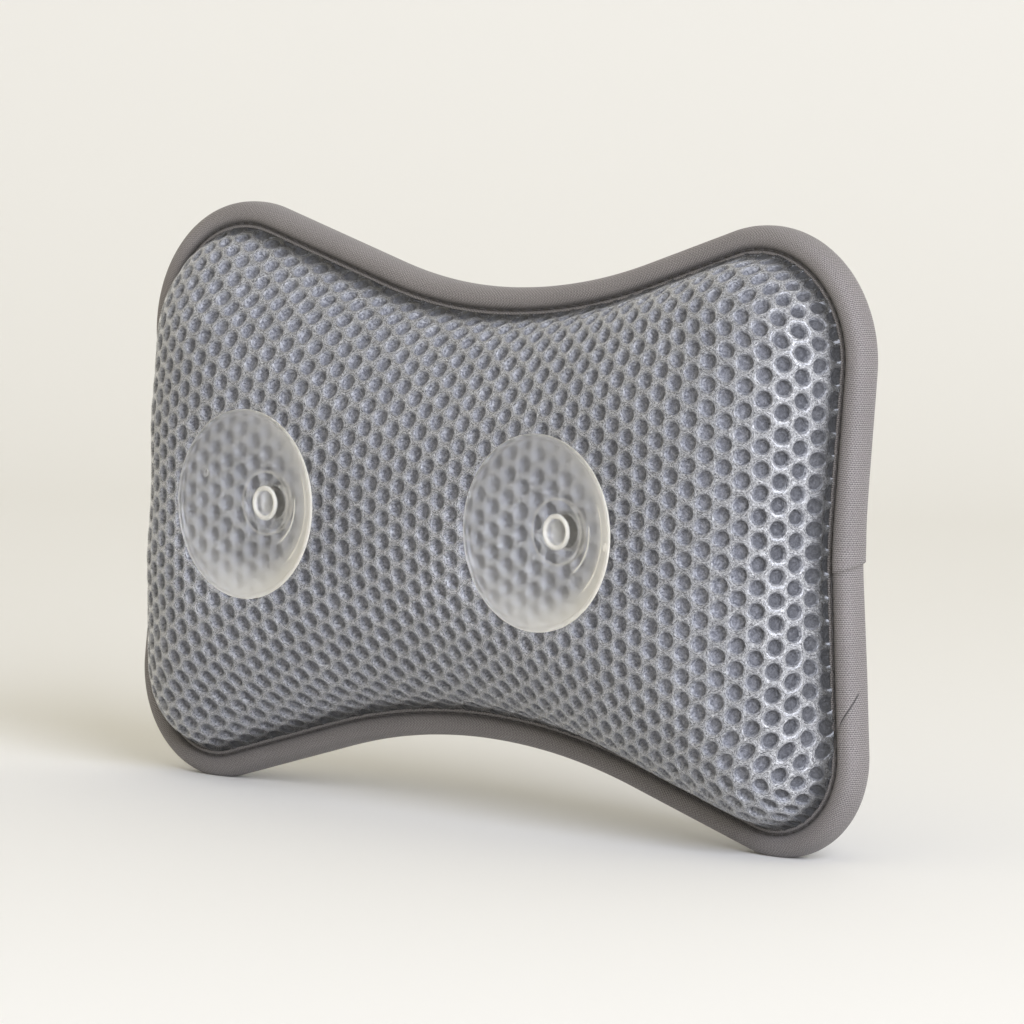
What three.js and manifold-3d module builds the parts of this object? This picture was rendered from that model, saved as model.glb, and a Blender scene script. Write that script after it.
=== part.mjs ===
// A bath pillow: two crowned spacer-mesh panels over a filled core, their edges bound in woven tape,
// and two clear suction cups held in the back panel. Millimetres, +Z up, with the cups facing -Y.
// It stands on its two lower lobes, as it does when it is set down on a shelf.
import * as THREE from 'three';
import { mergeVertices } from 'three/addons/utils/BufferGeometryUtils.js';
import Module from 'manifold-3d';

const wasm = await Module();
wasm.setup();

// Outline of the bound edge: four lobes, a dip at the waist and a slight dip at each side
const halfWidth = 150;
const halfHeight = 94;
const lobeRadius = 37;
const waistDip = 24;
const waistFlank = 50;
const sideDip = 3;
const sideFlank = 44;
const waistSteps = 3;
const lobeSteps = 8;
const sideSteps = 2;

// Gap between pieces that touch
const clearance = 0.3;

// Edge binding: a tape folded round both panels' edges, its ends lapped on the right-hand side
const bindingThickness = 10;
const bindingDepth = 8.5;
const tapeThickness = 1.2;
const foldRadius = 3.6;
const lapStations = 2;
const footFlat = 0.5;

// Panels: crown of each face above the edge plane, how the shoulder rounds into it at the lobes and
// the sides, and how it swells across the narrower waist, out to the waist's reach from the middle
const backCrown = 34;
const frontCrown = 35.5;
const dome = 1.5;
const shoulderWidth = 46;
const shoulderPower = 2.2;
const shoulderEase = 0.4545;
const waistWidth = 61;
const waistPower = 2;
const waistEase = 0.7;
const waistReach = 5;
const lobeReach = 90;
const panelThickness = 3;
const footGap = 0.3;
const coreEdgeGap = 1.2;
const shoulderSteps = [0.8, 3, 7, 14];
const innerScales = [0.84, 0.6, 0.3];

// Seam thread laid on each face of the binding
const threadDiameter = 0.9;
const threadInset = 7.2;
const threadSides = 5;

// Suction cups, each one moulding: a dish on a boss, with a hollow neck and a head inside the pillow
const cupSpacing = 123;
const cupDiameter = 59;
const cupDepth = 9.5;
const cupFloor = 5.5;
const skirtRoot = 1.8;
const skirtEdge = 0.9;
const sealWidth = 1.6;
const bossDiameter = 19.4;
const bossGap = 1.7;
const neckDiameter = 10.6;
const neckBore = 8.3;
const boreFloor = 2.2;
const lipHeight = 0.5;
const headDiameter = 18;
const headThickness = 3.6;
const headGap = 1.6;
const cupSides = 36;
const skirtSteps = 5;

// Backing washer behind the panel, and the room that the neck and the head have to tilt
const washerDiameter = 22;
const washerThickness = 1.6;
const panelNeckRoom = 0.5;
const washerNeckRoom = 0.75;
const pocketRoom = 1.5;
const washerSides = 32;
const plugSides = 20;

// Edge heights worked out from the binding
const edgeHalf = bindingThickness / 2;
const channelHalf = edgeHalf - tapeThickness;
const flangeHalf = channelHalf - clearance;
const panelFoot = bindingDepth + footGap;
const innerFoot = panelFoot + panelThickness;
const cupRadius = cupDiameter / 2;
const neckRadius = neckDiameter / 2;

// Points of the outline with their outward normals, from the waist's middle to the side's middle
function quarterOutline() {
  const lobe = new THREE.Vector2(halfWidth - lobeRadius, halfHeight - lobeRadius);
  const waistHeight = halfHeight - waistDip;
  const sideReach = halfWidth - sideDip;
  const rise = waistHeight - lobe.y;
  const reach = sideReach - lobe.x;
  const waistRadius =
    (lobe.x ** 2 + rise ** 2 - lobeRadius ** 2 - waistFlank ** 2) / (2 * waistDip);
  const sideRadius =
    (lobe.y ** 2 + reach ** 2 - lobeRadius ** 2 - sideFlank ** 2) / (2 * sideDip);
  const waist = new THREE.Vector2(0, waistHeight + waistRadius);
  const side = new THREE.Vector2(sideReach + sideRadius, 0);
  const toWaist = waist.clone().sub(lobe);
  const toSide = side.clone().sub(lobe);
  const lobeStart = toWaist.angle() - Math.atan2(waistFlank, lobeRadius + waistRadius);
  const lobeEnd = toSide.angle() + Math.atan2(sideFlank, lobeRadius + sideRadius) - 2 * Math.PI;
  return [
    ...arc(waist, waistRadius, -Math.PI / 2, lobeStart - Math.PI, waistSteps, -1),
    ...arc(lobe, lobeRadius, lobeStart, lobeEnd, lobeSteps, 1),
    ...arc(side, sideRadius, lobeEnd + Math.PI, Math.PI, sideSteps, -1),
  ];
}

function arc(centre, radius, from, to, steps, facing) {
  const points = [];
  for (let i = 0; i <= steps; i++) {
    const angle = from + ((to - from) * i) / steps;
    const x = Math.cos(angle);
    const z = Math.sin(angle);
    points.push({
      x: centre.x + radius * x,
      z: centre.y + radius * z,
      nx: facing * x,
      nz: facing * z,
    });
  }
  return points;
}

// The whole outline, clockwise seen from the cups' side, from the top of the waist
function wholeOutline() {
  const mirrored = (points, sx, sz) =>
    points.map((p) => ({ x: sx * p.x, z: sz * p.z, nx: sx * p.nx, nz: sz * p.nz }));
  const quarter = quarterOutline();
  const back = [...quarter].reverse();
  return [
    ...quarter.slice(0, -1),
    ...mirrored(back, 1, -1).slice(0, -1),
    ...mirrored(quarter, -1, -1).slice(0, -1),
    ...mirrored(back, -1, 1).slice(0, -1),
  ];
}

const outline = wholeOutline();
const sideMiddle = waistSteps + lobeSteps + sideSteps + 2;

function insetRing(inset) {
  return outline.map((p) => ({ x: p.x - p.nx * inset, z: p.z - p.nz * inset }));
}

// Distance of a point inside the pillow from the outline
function edgeDistance(x, z) {
  let nearest = Infinity;
  outline.forEach((a, i) => {
    const b = outline[(i + 1) % outline.length];
    const ex = b.x - a.x;
    const ez = b.z - a.z;
    const along = ((x - a.x) * ex + (z - a.z) * ez) / (ex * ex + ez * ez);
    const t = Math.min(1, Math.max(0, along));
    nearest = Math.min(nearest, Math.hypot(x - a.x - t * ex, z - a.z - t * ez));
  });
  return nearest;
}

// Height of a crowned face above the edge plane, for a face whose foot lies at the given inset
function crownHeight(x, z, foot, base, crown) {
  const lobe = THREE.MathUtils.smoothstep(Math.abs(x), waistReach, lobeReach);
  const width = THREE.MathUtils.lerp(waistWidth, shoulderWidth, lobe);
  const power = THREE.MathUtils.lerp(waistPower, shoulderPower, lobe);
  const ease = THREE.MathUtils.lerp(waistEase, shoulderEase, lobe);
  const depth = THREE.MathUtils.clamp((edgeDistance(x, z) - foot) / width, 0, 1);
  const shoulder = (1 - (1 - depth) ** power) ** ease;
  const swell = dome * (1 - (x / halfWidth) ** 2) * (1 - (z / halfHeight) ** 2);
  return base + (crown - dome - base + swell) * shoulder;
}

function outerHeight(x, z, crown) {
  return crownHeight(x, z, panelFoot, flangeHalf, crown);
}

function innerHeight(x, z, crown) {
  return crownHeight(x, z, innerFoot, clearance / 2, crown - panelThickness);
}

function coreHeight(x, z, crown) {
  return crownHeight(x, z, innerFoot + clearance, 0, crown - panelThickness - clearance);
}

// Rings that every crowned face shares, inside the given foot and in towards the middle
function faceRings(foot) {
  const insets = shoulderSteps.map((step) => panelFoot + step);
  const last = insetRing(insets[insets.length - 1]);
  return [
    ...insets.filter((inset) => inset > foot).map(insetRing),
    ...innerScales.map((scale) => last.map((p) => ({ x: p.x * scale, z: p.z * scale }))),
  ];
}

function raise(ring, side, height) {
  return ring.map((p) => new THREE.Vector3(p.x, side * height(p.x, p.z), p.z));
}

function level(ring, side, height) {
  return raise(ring, side, () => height);
}

function pole(side, height) {
  return new THREE.Vector3(0, side * height(0, 0), 0);
}

// Geometry from points and triangles, turned so that its faces point out
function bodyFrom(points, triangles) {
  let volume = 0;
  triangles.forEach(([a, b, c]) => {
    volume += points[a].dot(points[b].clone().cross(points[c]));
  });
  const facing = volume > 0 ? triangles : triangles.map(([a, b, c]) => [a, c, b]);
  const geometry = new THREE.BufferGeometry();
  geometry.setAttribute('position', new THREE.Float32BufferAttribute(points.flatMap((p) => p.toArray()), 3));
  geometry.setIndex(facing.flat());
  geometry.computeVertexNormals();
  return geometry;
}

// Triangles between two closed rings of points, each four-sided patch split along its shorter diagonal
function bandBetween(points, first, second, count) {
  const triangles = [];
  for (let i = 0; i < count; i++) {
    const j = (i + 1) % count;
    const [a, b, c, d] = [first + i, first + j, second + j, second + i];
    if (points[a].distanceTo(points[c]) < points[b].distanceTo(points[d])) {
      triangles.push([a, b, c], [a, c, d]);
    } else {
      triangles.push([a, b, d], [b, c, d]);
    }
  }
  return triangles;
}

// A skin from one pole over closed rings to the other pole
function poledSkin(firstPole, loops, lastPole) {
  const count = loops[0].length;
  const points = [firstPole, ...loops.flat(), lastPole];
  const last = points.length - 1;
  const start = (k) => 1 + k * count;
  const triangles = [];
  for (let i = 0; i < count; i++) {
    const j = (i + 1) % count;
    triangles.push([0, start(0) + j, start(0) + i]);
    triangles.push([last, start(loops.length - 1) + i, start(loops.length - 1) + j]);
  }
  for (let k = 0; k + 1 < loops.length; k++) {
    triangles.push(...bandBetween(points, start(k), start(k + 1), count));
  }
  return bodyFrom(points, triangles);
}

// One spacer-mesh panel: crowned outside and inside, with a flange that the binding grips
function panelGeometry(side, crown) {
  const outer = (x, z) => outerHeight(x, z, crown);
  const inner = (x, z) => innerHeight(x, z, crown);
  const tipInset = tapeThickness + clearance;
  const tipHalf = edgeHalf - foldRadius;
  const loops = [
    ...faceRings(panelFoot).reverse().map((ring) => raise(ring, side, outer)),
    level(insetRing(panelFoot), side, flangeHalf),
    level(insetRing(foldRadius), side, flangeHalf),
    level(insetRing(tipInset), side, tipHalf),
    level(insetRing(tipInset), side, clearance / 2),
    level(insetRing(innerFoot), side, clearance / 2),
    ...faceRings(innerFoot).map((ring) => raise(ring, side, inner)),
  ];
  return poledSkin(pole(side, outer), loops, pole(side, inner));
}

// The filling, which takes up the room inside the panels
function coreGeometry() {
  const back = (x, z) => coreHeight(x, z, backCrown);
  const front = (x, z) => coreHeight(x, z, frontCrown);
  const foot = innerFoot + coreEdgeGap;
  const loops = [
    ...faceRings(foot).reverse().map((ring) => raise(ring, -1, back)),
    level(insetRing(foot), 1, 0),
    ...faceRings(foot).map((ring) => raise(ring, 1, front)),
  ];
  return poledSkin(pole(-1, back), loops, pole(1, front));
}

// Section of the folded tape: inset from the outline and height, opened out by a growth at the lap
function tapeSection(growth) {
  const flatHalf = edgeHalf - foldRadius;
  const fold = (radius, steps) => {
    const points = [];
    for (let i = 0; i <= steps; i++) {
      const angle = ((Math.PI / 2) * i) / steps;
      const inset = foldRadius - radius * Math.sin(angle);
      points.push(new THREE.Vector2(inset, -flatHalf - radius * Math.cos(angle)));
    }
    return [...points, ...points.map((p) => new THREE.Vector2(p.x, -p.y)).reverse()];
  };
  const outside = edgeHalf + growth;
  const inside = channelHalf + growth;
  return [
    new THREE.Vector2(bindingDepth, -outside),
    ...fold(foldRadius + growth, 3),
    new THREE.Vector2(bindingDepth, outside),
    new THREE.Vector2(bindingDepth, inside),
    ...fold(foldRadius - tapeThickness + growth, 2).reverse(),
    new THREE.Vector2(bindingDepth, -inside),
  ];
}

// The lap lies on the right-hand side: its tape end covers the tape's start
const lapStart = sideMiddle - lapStations / 2;
const lapGrowth = tapeThickness + clearance;

function bindingGeometry() {
  const sections = [];
  const count = outline.length;
  for (let i = 0; i <= count + lapStations; i++) {
    const p = outline[(lapStart + i) % count];
    const section = tapeSection(i < count ? 0 : lapGrowth);
    sections.push(section.map((q) => new THREE.Vector3(p.x - p.nx * q.x, q.y, p.z - p.nz * q.x)));
  }
  const sides = sections[0].length;
  const points = sections.flat();
  const triangles = [];
  for (let k = 0; k + 1 < sections.length; k++) {
    triangles.push(...bandBetween(points, k * sides, (k + 1) * sides, sides));
  }
  const lastSection = points.length - sides;
  THREE.ShapeUtils.triangulateShape(tapeSection(0), []).forEach(([a, b, c]) => {
    triangles.push([a, b, c], [lastSection + a, lastSection + c, lastSection + b]);
  });
  return bodyFrom(points, triangles);
}

// A closed loop of thread lying on one face of the binding, and over its lap
function threadGeometry(side) {
  const radius = threadDiameter / 2;
  const points = [];
  outline.forEach((p, i) => {
    const lapped = i >= lapStart && i <= lapStart + lapStations;
    const height = edgeHalf + (lapped ? lapGrowth : 0) + clearance + radius;
    for (let k = 0; k < threadSides; k++) {
      const angle = (2 * Math.PI * k) / threadSides;
      const inset = threadInset + radius * Math.cos(angle);
      const y = side * (height + radius * Math.sin(angle));
      points.push(new THREE.Vector3(p.x - p.nx * inset, y, p.z - p.nz * inset));
    }
  });
  const triangles = [];
  outline.forEach((_, i) => {
    const next = (i + 1) % outline.length;
    triangles.push(...bandBetween(points, i * threadSides, next * threadSides, threadSides));
  });
  return bodyFrom(points, triangles);
}

// Section of a cup: radius, and height above the panel's outer face, from the bore round to the head
function cupSection() {
  const seal = cupFloor + cupDepth;
  const sealInner = cupRadius - sealWidth;
  const bossRadius = bossDiameter / 2;
  const dish = (r) => cupFloor + (cupDepth - skirtEdge) * ((r - bossRadius) / (sealInner - bossRadius)) ** 1.5;
  const wall = (r) => skirtRoot + ((skirtEdge - skirtRoot) * (r - bossRadius)) / (sealInner - bossRadius);
  const headTop = -(washerTop + washerThickness + headGap);
  const headRadius = headDiameter / 2;
  const skirt = [];
  for (let i = 0; i <= skirtSteps; i++) {
    skirt.push(bossRadius + ((sealInner - bossRadius) * i) / skirtSteps);
  }
  const points = [
    [0, headTop - headThickness + boreFloor],
    [neckBore / 2, headTop - headThickness + boreFloor],
    [neckBore / 2, cupFloor + lipHeight],
    [neckRadius, cupFloor + lipHeight],
    [neckRadius, cupFloor],
    ...skirt.map((r) => [r, dish(r)]),
    [sealInner, seal],
    [cupRadius, seal],
    [cupRadius, seal - skirtEdge],
    ...[...skirt].reverse().map((r) => [r, dish(r) - wall(r)]),
    [bossRadius, bossGap],
    [neckRadius, bossGap],
    [neckRadius, headTop],
    [headRadius, headTop],
    [headRadius, headTop - headThickness * 0.3],
    [headRadius * 0.75, headTop - headThickness * 0.8],
    [headRadius * 0.4, headTop - headThickness],
    [0, headTop - headThickness],
  ];
  return points.map(([r, height]) => new THREE.Vector2(r, height));
}

function washerSection() {
  const bore = neckRadius + washerNeckRoom;
  const outer = washerDiameter / 2;
  const top = -washerTop;
  const points = [
    [bore, top],
    [bore, top - washerThickness],
    [outer, top - washerThickness],
    [outer, top],
    [bore, top],
  ];
  return points.map(([r, height]) => new THREE.Vector2(r, height));
}

// Height of the back panel's inner face where its facets lie lowest over a washer
function lowestOverWashers() {
  const panel = new THREE.Mesh(panelGeometry(-1, backCrown));
  const outwards = new THREE.Vector3(0, -1, 0);
  const radius = washerDiameter / 2;
  const heights = cupPlaces.flatMap(({ x }) => {
    const rim = new THREE.EllipseCurve(x, 0, radius, radius).getPoints(washerSides);
    return rim.map((p) => {
      const inside = new THREE.Vector3(p.x, 0, p.y);
      return new THREE.Raycaster(inside, outwards).intersectObject(panel)[0].distance;
    });
  });
  return Math.min(...heights);
}

// A turned piece whose section's height points towards -Y
function turned(section, sides) {
  const lathe = new THREE.LatheGeometry(section, sides);
  lathe.rotateX(Math.PI);
  return geometryOf(solidOf(lathe));
}

// Closed geometry as a solid for cutting, and back
function solidOf(geometry) {
  const bare = geometry.clone();
  bare.deleteAttribute('normal');
  bare.deleteAttribute('uv');
  const welded = mergeVertices(bare, 1e-4);
  const place = (i) => new THREE.Vector3().fromBufferAttribute(welded.attributes.position, i);
  const index = [...welded.index.array];
  const triangles = [];
  let volume = 0;
  for (let i = 0; i < index.length; i += 3) {
    const [a, b, c] = index.slice(i, i + 3);
    if (a === b || b === c || c === a) continue;
    triangles.push([a, b, c]);
    volume += place(a).dot(place(b).cross(place(c)));
  }
  const facing = volume > 0 ? triangles : triangles.map(([a, b, c]) => [a, c, b]);
  return new wasm.Manifold(new wasm.Mesh({
    numProp: 3,
    vertProperties: new Float32Array(welded.attributes.position.array),
    triVerts: new Uint32Array(facing.flat()),
  }));
}

function geometryOf(solid) {
  const mesh = solid.getMesh();
  const geometry = new THREE.BufferGeometry();
  geometry.setAttribute('position', new THREE.Float32BufferAttribute(mesh.vertProperties, 3));
  geometry.setIndex([...mesh.triVerts]);
  geometry.computeVertexNormals();
  return geometry;
}

// A plug along Y at each cup, for the hole in the panel and the pocket in the filling
function cutAtCups(geometry, radius, from, to) {
  let solid = solidOf(geometry);
  cupPlaces.forEach(({ x }) => {
    const plug = new THREE.CylinderGeometry(radius, radius, to - from, plugSides);
    plug.translate(x, (from + to) / 2, 0);
    solid = solid.subtract(solidOf(plug));
  });
  return geometryOf(solid);
}

function cutFeet(geometry) {
  const floorBox = new THREE.BoxGeometry(3 * halfWidth, 3 * bindingThickness, halfHeight);
  floorBox.translate(0, 0, -1.5 * halfHeight + footFlat);
  return geometryOf(solidOf(geometry).subtract(solidOf(floorBox)));
}

const cupPlaces = [
  { name: 'left', x: -cupSpacing / 2 },
  { name: 'right', x: cupSpacing / 2 },
];
const panelFace = outerHeight(cupSpacing / 2, 0, backCrown);
const washerTop = panelFace - lowestOverWashers() + clearance;
const headReach = washerTop + washerThickness + headGap + headThickness;
const pocketFloor = panelFace - headReach - pocketRoom;
const cupReach = panelFace + cupFloor + cupDepth;

const meshFinish = { color: 0x9495a0, roughness: 0.75, metalness: 0 };
const tapeFinish = { color: 0x8e8b8b, roughness: 0.85, metalness: 0 };
const threadFinish = { color: 0x4c4a4c, roughness: 0.8, metalness: 0 };
const fillFinish = { color: 0xe9e7e0, roughness: 0.95, metalness: 0 };
const clearFinish = { color: 0xd9d6c9, roughness: 0.18, metalness: 0 };

function piece(name, geometry, finish) {
  const mesh = new THREE.Mesh(geometry, new THREE.MeshStandardMaterial(finish));
  mesh.name = name;
  return mesh;
}

function cushion() {
  const group = new THREE.Group();
  const backPanel = panelGeometry(-1, backCrown);
  const holeRadius = neckRadius + panelNeckRoom;
  const pocketRadius = washerDiameter / 2 + pocketRoom;
  group.add(
    piece('back_cover', cutAtCups(backPanel, holeRadius, -2 * backCrown, -pocketFloor), meshFinish),
    piece('front_cover', panelGeometry(1, frontCrown), meshFinish),
    piece('filling_core', cutAtCups(coreGeometry(), pocketRadius, -2 * backCrown, -pocketFloor), fillFinish),
    piece('edge_binding', cutFeet(bindingGeometry()), tapeFinish),
    piece('back_seam_thread', threadGeometry(-1), threadFinish),
    piece('front_seam_thread', threadGeometry(1), threadFinish),
  );
  return group;
}

function cupAssembly({ name, x }) {
  const group = new THREE.Group();
  group.position.set(x, -panelFace, 0);
  group.add(
    piece(`${name}_suction_cup`, turned(cupSection(), cupSides), clearFinish),
    piece(`${name}_backing_washer`, turned(washerSection(), washerSides), clearFinish),
  );
  return group;
}

// The origin is under the middle of the whole pillow, cups included, at the height of its feet
const pillow = new THREE.Group();
pillow.position.set(0, (cupReach - frontCrown) / 2, halfHeight - footFlat);
pillow.add(cushion(), ...cupPlaces.map(cupAssembly));

export default pillow;
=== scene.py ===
import math

import bmesh
import bpy
import numpy as np
from mathutils import Matrix, Vector, noise
from mathutils.bvhtree import BVHTree


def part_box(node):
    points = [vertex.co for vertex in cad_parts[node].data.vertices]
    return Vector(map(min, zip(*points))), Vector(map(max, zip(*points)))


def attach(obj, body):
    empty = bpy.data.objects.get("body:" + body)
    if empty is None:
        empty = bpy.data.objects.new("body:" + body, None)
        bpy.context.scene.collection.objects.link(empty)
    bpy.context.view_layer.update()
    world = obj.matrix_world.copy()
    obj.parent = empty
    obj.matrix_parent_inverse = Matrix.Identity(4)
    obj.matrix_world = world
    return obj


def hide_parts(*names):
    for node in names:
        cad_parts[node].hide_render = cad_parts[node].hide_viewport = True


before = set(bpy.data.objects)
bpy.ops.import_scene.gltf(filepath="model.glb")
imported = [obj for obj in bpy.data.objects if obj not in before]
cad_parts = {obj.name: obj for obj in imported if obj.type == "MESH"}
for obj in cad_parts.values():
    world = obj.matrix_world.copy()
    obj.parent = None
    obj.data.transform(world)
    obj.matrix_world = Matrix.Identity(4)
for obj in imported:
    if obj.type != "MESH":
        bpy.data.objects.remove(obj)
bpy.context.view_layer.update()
scene = bpy.context.scene
scene.view_settings.view_transform = "Standard"

# where the pillow's middle lies in the frame: the tape's middle plane and the cups' height
tapeLow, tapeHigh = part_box("edge_binding")
edgePlane = (tapeLow.y + tapeHigh.y) / 2
cupMiddles = {}
for side in ("left", "right"):
    low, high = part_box(side + "_suction_cup")
    cupMiddles[side] = ((low.x + high.x) / 2, (low.z + high.z) / 2)
middleHeight = cupMiddles["left"][1]
rayReach = 0.2
print("frame loaded, tape plane at", round(edgePlane, 5), "middle at", round(middleHeight, 5))


# 0 at the start and 1 at the end, held beyond both
def ramp(value, start, end):
    return np.clip((value - start) / (end - start), 0, 1)


def smooth(share):
    return share * share * (3 - 2 * share)


# a place in the frame, from where it lies on the tape's plane and its height over that plane
def inFrame(flat, height):
    return Vector((flat[0], edgePlane + height, middleHeight + flat[1]))


def newObject(name, data):
    made = bpy.data.objects.new(name, data)
    scene.collection.objects.link(made)
    return made


# camera, fitted to the outline and to both cups' ellipses
photoView = {
    "azimuth": 42.75, "elevation": 4.20, "roll": 1.68, "distance": 1.80274, "clipEnd": 20,
    "aimX": 0.00704, "aimZ": 0.00074, "focalPixels": 5842.52, "imagePixels": 1024, "sensor": 36.0,
}


def viewAxes(view):
    az, el, roll = (math.radians(view[k]) for k in ("azimuth", "elevation", "roll"))
    back = Vector((math.sin(az) * math.cos(el), -math.cos(az) * math.cos(el), math.sin(el)))
    right = Vector((math.cos(az), math.sin(az), 0))
    up = back.cross(right)
    return right * math.cos(roll) + up * math.sin(roll), up * math.cos(roll) - right * math.sin(roll), back


def placeCamera(view):
    right, up, back = viewAxes(view)
    lens = bpy.data.cameras.new("photoCamera")
    lens.sensor_width = view["sensor"]
    lens.lens = view["focalPixels"] / view["imagePixels"] * view["sensor"]
    lens.clip_end = view["clipEnd"]
    camera = newObject("photoCamera", lens)
    place = inFrame((view["aimX"], view["aimZ"]), 0) + back * view["distance"]
    turn = Matrix((right, up, back)).transposed().to_4x4()
    camera.matrix_world = Matrix.Translation(place) @ turn
    scene.camera = camera


placeCamera(photoView)


# outline of the sewn edge: four lobes, a waist and slightly drawn-in sides, from tangent arcs
edgeShape = {
    "halfWidth": 0.150, "halfHeight": 0.094, "waistHeight": 0.070, "sideRun": 0.081,
    # each lobe's reach to the side, height, radius, straight run to the waist, and the side's reach
    "lobes": {
        "lowerRight": (0.150, 0.0940, 0.031, 0.050, 0.1456),
        "lowerLeft": (0.1518, 0.0940, 0.034, 0.050, 0.147),
        "upperLeft": (0.150, 0.0925, 0.042, 0.055, 0.147),
        "upperRight": (0.1482, 0.0930, 0.040, 0.035, 0.1456),
    },
    "arcSteps": (60, 120, 40), "denseSteps": 720, "batch": 4000,
}


def arcPoints(centre, radius, start, end, facing, steps):
    angle = np.linspace(start, end, steps)
    out = np.stack([np.cos(angle), np.sin(angle)], axis=1)
    return np.hstack([np.array(centre) + radius * out, facing * out])


# one corner, from the waist's middle to the side's middle: x, z, outward x, outward z
def cornerEdge(shape, reachOut, top, radius, waistFlank, sideReach):
    lobe = np.array([reachOut - radius, top - radius])
    waistHeight, sideFlank = shape["waistHeight"], shape["sideRun"] - radius
    rise, reach = waistHeight - lobe[1], sideReach - lobe[0]
    waistRadius = (lobe[0] ** 2 + rise ** 2 - radius ** 2 - waistFlank ** 2) / (2 * (top - waistHeight))
    sideRadius = (lobe[1] ** 2 + reach ** 2 - radius ** 2 - sideFlank ** 2) / (2 * (reachOut - sideReach))
    waist, side = np.array([0, waistHeight + waistRadius]), np.array([sideReach + sideRadius, 0])
    toWaist, toSide = waist - lobe, side - lobe
    lobeStart = math.atan2(toWaist[1], toWaist[0]) - math.atan2(waistFlank, radius + waistRadius)
    lobeEnd = math.atan2(toSide[1], toSide[0]) + math.atan2(sideFlank, radius + sideRadius)
    waistSteps, lobeSteps, sideSteps = shape["arcSteps"]
    return np.vstack([
        arcPoints(waist, waistRadius, -math.pi / 2, lobeStart - math.pi, -1, waistSteps),
        arcPoints(lobe, radius, lobeStart, lobeEnd, 1, lobeSteps),
        arcPoints(side, sideRadius, lobeEnd + math.pi, math.pi, -1, sideSteps),
    ])


# the whole edge from the right-hand side's middle, down and round
def wholeEdge(shape):
    corner = {name: cornerEdge(shape, *lobe) for name, lobe in shape["lobes"].items()}
    flip = lambda rows, sx, sz: rows * np.array([sx, sz, sx, sz])
    return np.vstack([flip(corner["lowerRight"][::-1], 1, -1), flip(corner["lowerLeft"], -1, -1),
                      flip(corner["upperLeft"][::-1], -1, 1), corner["upperRight"]])


edgeRows = wholeEdge(edgeShape)
edgeRows = np.vstack([edgeRows, edgeRows[:1]])
edgeAlong = np.concatenate([[0], np.cumsum(np.hypot(*np.diff(edgeRows[:, :2], axis=0).T))])
edgeLength = float(edgeAlong[-1])


def edgeAt(along):
    rows = np.stack([np.interp(along, edgeAlong, edgeRows[:, k]) for k in range(4)], axis=1)
    rows[:, 2:] /= np.hypot(rows[:, 2], rows[:, 3])[:, None]
    return rows


def evenAlong(count):
    return np.linspace(0, edgeLength, count, endpoint=False)


denseEdge = edgeAt(evenAlong(edgeShape["denseSteps"]))[:, :2]


# distance of points inside the pillow from its edge
def edgeDistance(points):
    a, b = denseEdge, np.roll(denseEdge, -1, axis=0)
    ab = b - a
    batch = edgeShape["batch"]
    nearest = np.full(len(points), np.inf)
    for start in range(0, len(points), batch):
        part = points[start:start + batch]
        share = np.clip(((part[:, None] - a) * ab).sum(2) / (ab * ab).sum(1), 0, 1)
        gap = part[:, None] - a - share[..., None] * ab
        nearest[start:start + batch] = np.sqrt((gap ** 2).sum(2).min(1))
    return nearest


def edgeInset(places):
    return edgeDistance(places[:, [0, 2]] - (0, middleHeight))


# how full the stuffed body is: crown above the tape's plane, and how the shoulder rounds into it
bodyShape = {
    "backCrown": 0.0356, "frontCrown": 0.0362, "dome": 0.0030,
    "footInset": 0.0094, "rimInset": 0.0050, "rimStep": 0.0006, "flangeHalf": 0.0030,
    "shoulder": (0.041, 2.2, 0.42), "waist": (0.057, 2.0, 0.55), "lobeSpan": (0.005, 0.090),
    # the lobes' softer shoulders, as width and ease: the back's by side, the front's alike
    "tipSpan": (0.022, 0.067), "tipLeft": (0.024, 0.13), "tipRight": (0.008, 0.03), "tipFront": (0.006, 0.04),
    "stations": 300, "footSteps": (0.0004, 0.0012, 0.0025, 0.0045, 0.007, 0.0105, 0.015, 0.021),
    "inwardScales": (0.93, 0.85, 0.76, 0.66, 0.55, 0.43, 0.30, 0.15), "voxel": 0.0045, "easeSteps": 4,
    "shrink": 0.0008, "pressure": 4.0, "quality": 6, "frames": 20, "cap": 0.0018, "pinInset": 0.0110,
    "easeLift": 0.02, "dimple": 0.0022, "dimpleReach": 0.017, "wallReach": (0.030, 0.015),
    "patternStep": 0.0012, "patternColumns": 130, "patternRows": 82,
}


def crownHeight(flat, crown, facing):
    s = bodyShape
    lobe = smooth(ramp(abs(flat[:, 0]), *s["lobeSpan"]))
    width, power, ease = (low + (full - low) * lobe for low, full in zip(s["waist"], s["shoulder"]))
    tip = lobe * ramp(abs(flat[:, 1]), *s["tipSpan"])
    sides = [np.where(flat[:, 0] < 0, *pair) for pair in zip(s["tipLeft"], s["tipRight"])]
    softer = [tip * side for side in sides] if facing < 0 else [lobe * front for front in s["tipFront"]]
    width, ease = width + softer[0], ease + softer[1]
    depth = np.clip((edgeDistance(flat) - s["footInset"]) / width, 0, 1)
    shoulder = (1 - (1 - depth) ** power) ** ease
    across, upward = flat[:, 0] / edgeShape["halfWidth"], flat[:, 1] / edgeShape["halfHeight"]
    swell = (1 - across ** 2) * (1 - upward ** 2)
    return s["flangeHalf"] + (crown - s["dome"] * (1 - swell) - s["flangeHalf"]) * shoulder


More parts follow.
